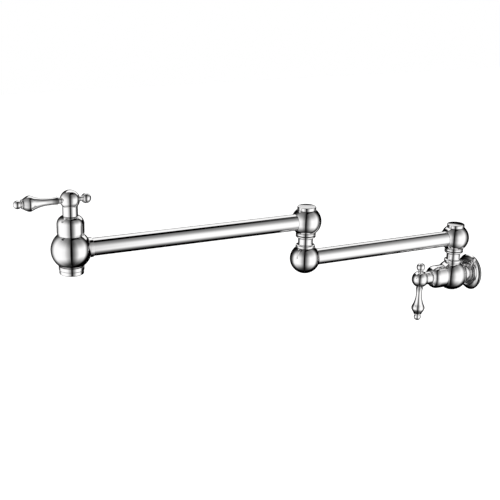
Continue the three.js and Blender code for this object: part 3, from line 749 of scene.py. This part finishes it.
def postPiece():
    bead = post["lowerRingBulge"]
    ledge = post["lowerRing"] - bead
    beadHalf = post["lowerRingHeight"] / 2
    waistLow = neckBottom + post["lowerRingHeight"] + post["flare"]
    waistHigh = neckTop - post["upperRingHeight"] - post["flare"]
    ring = jointBall["ring"]
    lip = ring - jointBall["ringStep"]
    sealMiddle = guideTop - jointBall["guideLength"] / 2
    grooves = []
    for middle in (sealMiddle - post["sealSpacing"] / 2, sealMiddle + post["sealSpacing"] / 2):
        grooves += sealGroove(post["spigot"], middle, post["sealSection"], post["sealProud"])
    return turned([
        (post["waterway"], neckBottom - jointBall["plugDepth"]),
        (post["plug"], neckBottom - jointBall["plugDepth"], edge),
        (post["plug"], neckBottom),
        *arc((ledge, neckBottom + beadHalf), (bead, beadHalf), -90, 90, step=12),
        *arc((ledge, waistLow), (ledge - post["waist"], post["flare"]), 270, 180, step=10),
        *arc((lip, waistHigh), (lip - post["waist"], post["flare"]), 180, 90, step=10),
        (ring, neckTop - post["upperRingHeight"] + jointBall["ringStep"], jointBall["ringRounding"]),
        (ring, neckTop, edge),
        (post["spigot"], neckTop),
        *grooves,
        (post["spigot"], guideTop - gap),
        (post["thread"], guideTop - gap),
        (post["thread"], guideTop + post["threadEnd"], edge),
        (post["waterway"], guideTop + post["threadEnd"]),
    ], steps=112)


def washerPiece():
    low = neckTop + gap
    high = low + slipWasher["thickness"]
    inner = jointBall["guide"]
    outer = jointBall["ring"] - gap
    rounding = slipWasher["rounding"]
    return turned([(inner, low), (outer, low, rounding), (outer, high, rounding), (inner, high)], steps=96)


# Arm tubes

armTube = {"radius": 11, "wall": 1.2, "rounding": 0.2}


def addTube(name, body):
    low, high = corners(name)
    outer = armTube["radius"]
    inner = outer - armTube["wall"]
    rounding = armTube["rounding"]
    middle = (low + high) / 2
    half = (high.y - low.y) / 2
    bm = turned([(inner, -half), (outer, -half, rounding), (outer, half, rounding), (inner, half)])
    addPiece(name + "Shell", bm, (0, middle.y, middle.z), body, "chrome", name, lying=alongWall)


# Valve bodies, with the spindle along Z

spindle = {
    "bore": 11,
    "floor": 9,  # below the middle of the ball
    "throat": 5,
    "boss": 14.2,
    "bossDrop": 12,  # bonnet's top to the boss's
    "bonnetBase": 16,
}

wallValve = {
    "radius": 22.4,
    "boss": 11.6,
    "bossRise": 0.54,
    "stub": 13.4,
    "stubShort": 1.5,
    "inlet": 10,
    "inletDepth": 16,
    "sealSection": 0.7,
    "sealFromWall": 4.5,
}

spoutValve = {
    "radius": 24.6,
    "socketRing": 12.2,
    "socketReach": 26,
    "socketRounding": 0.45,
    "tubeStop": 14,
    "outletBore": 12,
    "outletDepth": 3.5,
    "collar": 15.5,
    "collarStep": 1.1,
}
outletFace = -heightAt(spoutValve["radius"], spoutValve["collar"] - spoutValve["collarStep"])


def spindleHalf(radius, low, bonnetTop):
    bossTop = bonnetTop - spindle["bossDrop"]
    return [
        *ballArc(radius, low, heightAt(radius, spindle["boss"])),
        (spindle["boss"], bossTop, edge),
        (spindle["bore"], bossTop),
        (spindle["bore"], -spindle["floor"]),
        (spindle["throat"], -spindle["floor"]),
    ]


def wallValveBody(bonnetTop, fromWall):
    valve = wallValve
    stubEnd = valve["stubShort"] - fromWall
    shell = turned([
        (spindle["throat"], stubEnd + valve["inletDepth"]),
        (valve["inlet"], stubEnd + valve["inletDepth"]),
        (valve["inlet"], stubEnd, edge),
        (valve["stub"], stubEnd, edge),
        *sealGroove(valve["stub"], valve["sealFromWall"] - fromWall, valve["sealSection"]),
        *spindleHalf(valve["radius"], -heightAt(valve["radius"], valve["stub"]), bonnetTop),
    ])
    bossTop = heightAt(valve["radius"], valve["boss"]) + valve["bossRise"]
    above = bossTop + jointBall["plugDepth"]
    waterStart = heightAt(spindle["bore"], post["waterway"])
    return combined(
        shell,
        ("UNION", rod(valve["boss"], spindle["bore"] + gap, bossTop, alongWall)),
        ("DIFFERENCE", rod(valve["boss"] + overrun, bossTop, above, alongWall)),
        ("DIFFERENCE", rod(jointBall["plugSocket"], bossTop - jointBall["plugDepth"], above, alongWall)),
        ("DIFFERENCE", rod(post["waterway"], waterStart, bossTop, alongWall, steps=48)),
    )


def spoutValveBody(bonnetTop):
    valve = spoutValve
    shell = turned([
        (spindle["throat"], outletFace + valve["outletDepth"]),
        (valve["outletBore"], outletFace + valve["outletDepth"]),
        (valve["outletBore"], outletFace),
        *spindleHalf(valve["radius"], outletFace, bonnetTop),
    ])
    start, end = valve["tubeStop"], valve["socketReach"]
    socketRing = laid(turned([
        (0, start),
        (valve["socketRing"], start),
        (valve["socketRing"], end, valve["socketRounding"]),
        (0, end),
    ]), alongWall)
    cuts = tubeSocketCuts(start, end, spindle["bore"], alongWall)
    return combined(shell, ("UNION", socketRing), *cuts)


bonnet = {
    "radius": 16.6,
    "taper": 3,
    "top": 9.8,
    "shoulder": 10.3,
    "roof": 8.7,
    "bearing": 6.4,
    "baseRounding": 0.8,
    "shoulderRounding": 0.3,
}


def bonnetPiece(ballSize, bonnetTop):
    inner = spindle["boss"] + gap
    base = heightAt(ballSize, spindle["bonnetBase"]) + gap
    centre = bonnet["top"] - (bonnet["radius"] - bonnet["top"]) / 2
    spread = bonnet["radius"] - centre
    topAngle = math.acos((bonnet["top"] - centre) / spread)
    rise = bonnet["shoulder"] / math.sin(topAngle)
    middle = (centre, bonnetTop - bonnet["shoulder"])
    shoulder = arc(middle, (spread, rise), 0, math.degrees(topAngle), step=3)
    return turned([
        (inner, heightAt(ballSize, inner) + gap),
        (spindle["bonnetBase"], base, edge),
        (bonnet["radius"], base + bonnet["taper"], bonnet["baseRounding"]),
        *shoulder[:-1],
        (*shoulder[-1], bonnet["shoulderRounding"]),
        (bonnet["bearing"], bonnetTop, edge),
        (bonnet["bearing"], bonnetTop - bonnet["roof"]),
        (inner, bonnetTop - bonnet["roof"]),
    ])


# Handles, from the middle of the hub: the lever points along -Y and the finial along +Y

hub = {
    "radius": 12,
    "skirt": 9.2,
    "skirtBore": 7.4,
    "spoutSkirt": 19.7,  # hub's middle to the bonnet's top
    "wallSkirt": 16.7,
    "socketRise": 3.5,
    "socketEntry": 6.5,
    "spline": 4.9,
    "splineDepth": 0.6,
    "splineTeeth": 12,
    "holeFloor": 5.9,
}


def splineCutter():
    bm = bmesh.new()
    bmesh.ops.create_circle(bm, cap_ends=True, segments=2 * hub["splineTeeth"], radius=hub["spline"])
    valleys = bm.verts[:][1::2]
    inset = 1 - hub["splineDepth"] / hub["spline"]
    bmesh.ops.scale(bm, verts=valleys, vec=(inset, inset, 1))
    grown = bmesh.ops.extrude_face_region(bm, geom=bm.faces[:])
    top = [item for item in grown["geom"] if isinstance(item, bmesh.types.BMVert)]
    bmesh.ops.translate(bm, verts=top, vec=(0, 0, hub["socketEntry"] + gap + hub["socketRise"]))
    bmesh.ops.translate(bm, verts=bm.verts, vec=(0, 0, -hub["socketEntry"] - gap))
    bmesh.ops.recalc_face_normals(bm, faces=bm.faces)
    return bm


def hubPiece(skirtHeight):
    shell = turned([
        (0, -hub["socketEntry"]),
        (hub["skirtBore"], -hub["socketEntry"]),
        (hub["skirtBore"], gap - skirtHeight),
        (hub["skirt"], gap - skirtHeight, edge),
        *ballArc(hub["radius"], -heightAt(hub["radius"], hub["skirt"]), hub["radius"]),
    ], steps=96)
    leverHole = rod(lever["tang"] + gap, hub["holeFloor"], 2 * hub["radius"], outOfWall, steps=48)
    finialHole = rod(finial["stud"] + gap, hub["holeFloor"], 2 * hub["radius"], alongWall, steps=48)
    return combined(
        shell,
        ("DIFFERENCE", splineCutter()),
        ("DIFFERENCE", leverHole),
        ("DIFFERENCE", finialHole),
    )


lever = {
    "tang": 3.2,
    "bead": 0.8,
    "collar": 5.2,
    "edge": 0.5,
    "waist": 4.3,
    "waistInset": 9,
    "bulb": 9.6,
    "swell": 7.5,
    "bulbInset": 7.4,
    "tip": 5.1,
    "ring": 5.8,
    "ringWidth": 1.4,
    "ringRounding": 0.4,
    "neck": 3.5,
    "neckRounding": 0.2,
    "spoutSeat": 15.2,
    "spoutLength": 53,
    "wallSeat": 12.4,
    "wallLength": 50.5,
}


def leverPiece(seat, length):
    tipMiddle = seat + length - lever["tip"]
    tipStart = heightAt(lever["tip"], lever["neck"])
    ringStart = tipMiddle - tipStart - 2 * lever["ringWidth"]
    bulbLevel = ringStart - lever["bulbInset"]
    swellLevel = bulbLevel - lever["swell"]
    waistLevel = seat + lever["waistInset"]
    waist, bulb, collar = lever["waist"], lever["bulb"], lever["collar"]
    body = smoothCurve([
        (collar, seat + lever["edge"]),
        ((collar + 3 * waist) / 4, seat + lever["waistInset"] / 2),
        (waist, waistLevel),
        ((bulb + 9 * waist) / 10, (waistLevel + swellLevel) / 2),
        ((bulb + waist) / 2, swellLevel),
        (bulb, bulbLevel),
        (lever["ring"] + lever["edge"], ringStart),
    ])
    start = hub["holeFloor"] + gap
    beadMiddle = (hub["radius"] + seat) / 2
    width, rounding = lever["ringWidth"], lever["ringRounding"]
    return turned([
        (0, start),
        (lever["tang"], start, edge),
        *arc((lever["tang"], beadMiddle), (lever["bead"], (seat - hub["radius"]) / 2), -90, 60, step=15),
        *body,
        (lever["neck"], ringStart + width / 3, lever["neckRounding"]),
        (lever["ring"], ringStart + 2 * width / 3, rounding),
        (lever["ring"], ringStart + 4 * width / 3, rounding),
        *ballArc(lever["tip"], -tipStart, lever["tip"], tipMiddle, step=6),
    ], steps=96)


finial = {
    "radius": 6.2,
    "neck": 2.9,
    "neckRounding": 0.2,
    "stud": 2.4,
    "spoutReach": 19.9,
    "wallReach": 18,
}


def finialPiece(reach):
    neckEnd = heightAt(finial["radius"], finial["neck"])
    start = hub["holeFloor"] + gap
    return turned([
        (0, start),
        (finial["stud"], start, edge),
        (finial["stud"], hub["radius"]),
        (finial["neck"], hub["radius"], finial["neckRounding"]),
        *ballArc(finial["radius"], -neckEnd, finial["radius"], reach, step=5),
    ], steps=80)


# Wall plate, from the middle of the wall valve

wallPlate = {
    "radius": 26.4,
    "edge": 0.5,
    "footWidth": 4.5,
    "bandDepth": 3.5,
    "bandSlope": 1.9,  # the band draws in towards the wall
    "bandRounding": 0.3,
    "domeMiddle": (18.15, -3.6),  # radius and level of the curve's centre, from the wall
    "domeRadius": 11.3,
    "domeAngles": (54, 82),
    "grooveMiddle": (18.05, 7.0),
    "grooveRadii": (1.65, 1.7),
    "grooveFloor": 16.4,  # where the tapered collar rises from the groove
    "collar": 15.2,
    "collarRounding": 0.2,
    "collarFront": 7.1,
    "boreLength": 5,
    "wall": 2,
}


def wallPlatePiece(fromWall):
    plate = wallPlate
    back = -fromWall
    front = back + plate["collarFront"]
    bore = wallValve["stub"] + gap
    domeCircle, domeLevel = plate["domeMiddle"]
    grooveCircle, grooveLevel = plate["grooveMiddle"]
    domeRadii = (plate["domeRadius"], plate["domeRadius"])
    return turned([
        (plate["radius"] - plate["footWidth"], back),
        (plate["radius"] - plate["bandSlope"], back, plate["edge"]),
        (plate["radius"], back + plate["bandDepth"], plate["bandRounding"]),
        *arc((domeCircle, back + domeLevel), domeRadii, *plate["domeAngles"], step=3),
        *arc((grooveCircle, back + grooveLevel), plate["grooveRadii"], 0, -90, step=8),
        (plate["grooveFloor"], back + grooveLevel - plate["grooveRadii"][1]),
        (plate["collar"], front, plate["collarRounding"]),
        (bore, front, edge),
        (bore, front - plate["boreLength"]),
        (plate["collar"] - plate["wall"] / 2, front - plate["boreLength"] - plate["wall"] / 2),
    ], steps=144)


# Outlet, from the middle of the spout's ball

outlet = {
    "collarHeight": 4.5,
    "collarEdge": 0.5,
    "collarBore": 9.6,
    "shell": 14.9,
    "shellHeight": 5,
    "shellWall": 1.7,
    "shellEdge": 1.4,
    "lip": 1,
    "mouth": 11,
    "mouthRounding": 0.2,
    "flange": 1,
    "gasket": 0.9,
    "insertRise": 5.5,
    "holeRadius": 1.3,
    "holeCircle": 5.6,
    "holes": 6,
}
collarTop = outletFace - gap
collarLow = collarTop - outlet["collarHeight"]
shellTop = collarLow - gap
shellLow = shellTop - outlet["shellHeight"]
insertLow = shellLow + outlet["lip"] + gap
insertTop = insertLow + outlet["flange"]
shellBore = outlet["shell"] - outlet["shellWall"]


def outletCollar():
    threadEnd = insertTop + 2 * gap + outlet["gasket"]
    outer = spoutValve["collar"]
    spigot = spoutValve["outletBore"] - gap
    return turned([
        (outlet["collarBore"], threadEnd),
        (shellBore - gap, threadEnd, edge),
        (shellBore - gap, collarLow),
        (outer, collarLow, outlet["collarEdge"]),
        (outer, collarTop, outlet["collarEdge"]),
        (spigot, collarTop),
        (spigot, collarTop + spoutValve["outletDepth"], edge),
        (outlet["collarBore"], collarTop + spoutValve["outletDepth"]),
    ])


def aeratorShell():
    rounding = outlet["shellEdge"]
    return turned([
        (outlet["mouth"], shellLow, outlet["mouthRounding"]),
        *arc((outlet["shell"] - rounding, shellLow + rounding), (rounding, rounding), -90, 0, step=15),
        (outlet["shell"], shellTop, outlet["collarEdge"]),
        (shellBore, shellTop, edge),
        (shellBore, shellLow + outlet["lip"]),
        (outlet["mouth"], shellLow + outlet["lip"], outlet["mouthRounding"]),
    ])


def aeratorInsert():
    face = outlet["mouth"] - gap
    flange = shellBore - gap
    barrel = outlet["collarBore"] - gap
    top = insertTop + outlet["insertRise"]
    core = turned([
        (0, shellLow + gap),
        (face, shellLow + gap, outlet["mouthRounding"]),
        (face, insertLow),
        (flange, insertLow),
        (flange, insertTop),
        (barrel, insertTop),
        (barrel, top, edge),
        (0, top),
    ], steps=96)
    holes = []
    for i in range(outlet["holes"]):
        hole = rod(outlet["holeRadius"], shellLow - gap, top + gap, steps=32)
        angle = 2 * math.pi * i / outlet["holes"]
        aside = (outlet["holeCircle"] * math.cos(angle), outlet["holeCircle"] * math.sin(angle), 0)
        bmesh.ops.translate(hole, verts=hole.verts, vec=aside)
        holes.append(("DIFFERENCE", hole))
    return combined(core, *holes)


# Fitting every piece to the frame

def addWallEnd():
    middle = Vector((0, pivots["wall_swivel"].y, 0))
    fromWall = -middle.y
    bonnetTop = middle.y - corners("wall_bonnet")[0].y
    hubMiddle = middle - Vector((0, bonnetTop + hub["wallSkirt"], 0))
    plate = wallPlatePiece(fromWall)
    valve = wallValveBody(bonnetTop, fromWall)
    cover = bonnetPiece(wallValve["radius"], bonnetTop)
    addPiece("wallPlate", plate, middle, "wall_body", "chrome", "wall_flange", lying=outOfWall)
    addPiece("wallValveBody", valve, middle, "wall_body", "chrome", "valve_body", lying=outOfWall)
    addPiece("wallBonnet", cover, middle, "wall_body", "chrome", "wall_bonnet", lying=outOfWall)
    addHandle("wall", hubMiddle, outOfWall)
    print("wall end fitted")


def addHandle(end, middle, lying):
    body = end + "_handle"
    grip = leverPiece(lever[end + "Seat"], lever[end + "Length"])
    knob = finialPiece(finial[end + "Reach"])
    gripWay = lying @ outOfWall if lying else outOfWall
    knobWay = lying @ alongWall if lying else alongWall
    addPiece(end + "Hub", hubPiece(hub[end + "Skirt"]), middle, body, "chrome", end + "_hub", lying=lying)
    addPiece(end + "Lever", grip, middle, body, "chrome", end + "_lever", lying=gripWay)
    addPiece(end + "Finial", knob, middle, body, "chrome", end + "_finial", lying=knobWay)


def addSwivel(place, middle, body):
    addPiece(place + "Post", postPiece(), middle, body, "chrome", place + "_neck")
    addPiece(place + "SlipWasher", washerPiece(), middle, body, "dark_acetal", place + "_slip_washer")


def addUpperBall(name, ballNode, capNode, body, swivel):
    foot = corners(ballNode)[0].z
    middle = Vector((0, pivots[swivel].y, foot - footLevel))
    addPiece(name + "Ball", upperBall(), middle, body, "chrome", ballNode)
    addPiece(name + "Cap", capPiece(), middle, body, "chrome", capNode)
    return middle


def addArms():
    innerMiddle = addUpperBall("inner", "inner_ball", "inner_cap", "inner_arm", "wall_swivel")
    addSwivel("wall", innerMiddle, "wall_body")
    addTube("inner_tube", "inner_arm")
    elbowMiddle = Vector((0, pivots["elbow_swivel"].y, innerMiddle.z))
    addPiece("elbowLowerBall", lowerBall(), elbowMiddle, "inner_arm", "chrome", "elbow_base_ball")
    outerMiddle = addUpperBall("elbowUpper", "elbow_top_ball", "elbow_cap", "outer_arm", "elbow_swivel")
    addSwivel("elbow", outerMiddle, "inner_arm")
    addTube("outer_tube", "outer_arm")
    print("arms fitted")
    return outerMiddle.z


def addSpout(level):
    middle = Vector((0, pivots["spout_valve_turn"].y, level))
    bonnetTop = corners("spout_bonnet")[1].z - level
    hubMiddle = middle + Vector((0, 0, bonnetTop + hub["spoutSkirt"]))
    cover = bonnetPiece(spoutValve["radius"], bonnetTop)
    addPiece("spoutValveBody", spoutValveBody(bonnetTop), middle, "outer_arm", "chrome", "spout_body")
    addPiece("spoutBonnet", cover, middle, "outer_arm", "chrome", "spout_bonnet")
    addPiece("outletCollar", outletCollar(), middle, "outer_arm", "chrome", "outlet_collar")
    addPiece("aeratorShell", aeratorShell(), middle, "outer_arm", "chrome", "aerator_shell")
    addPiece("aeratorInsert", aeratorInsert(), middle, "outer_arm", "acetal", "aerator_insert")
    addHandle("spout", hubMiddle, None)
    print("spout fitted")


addWallEnd()
addSpout(addArms())
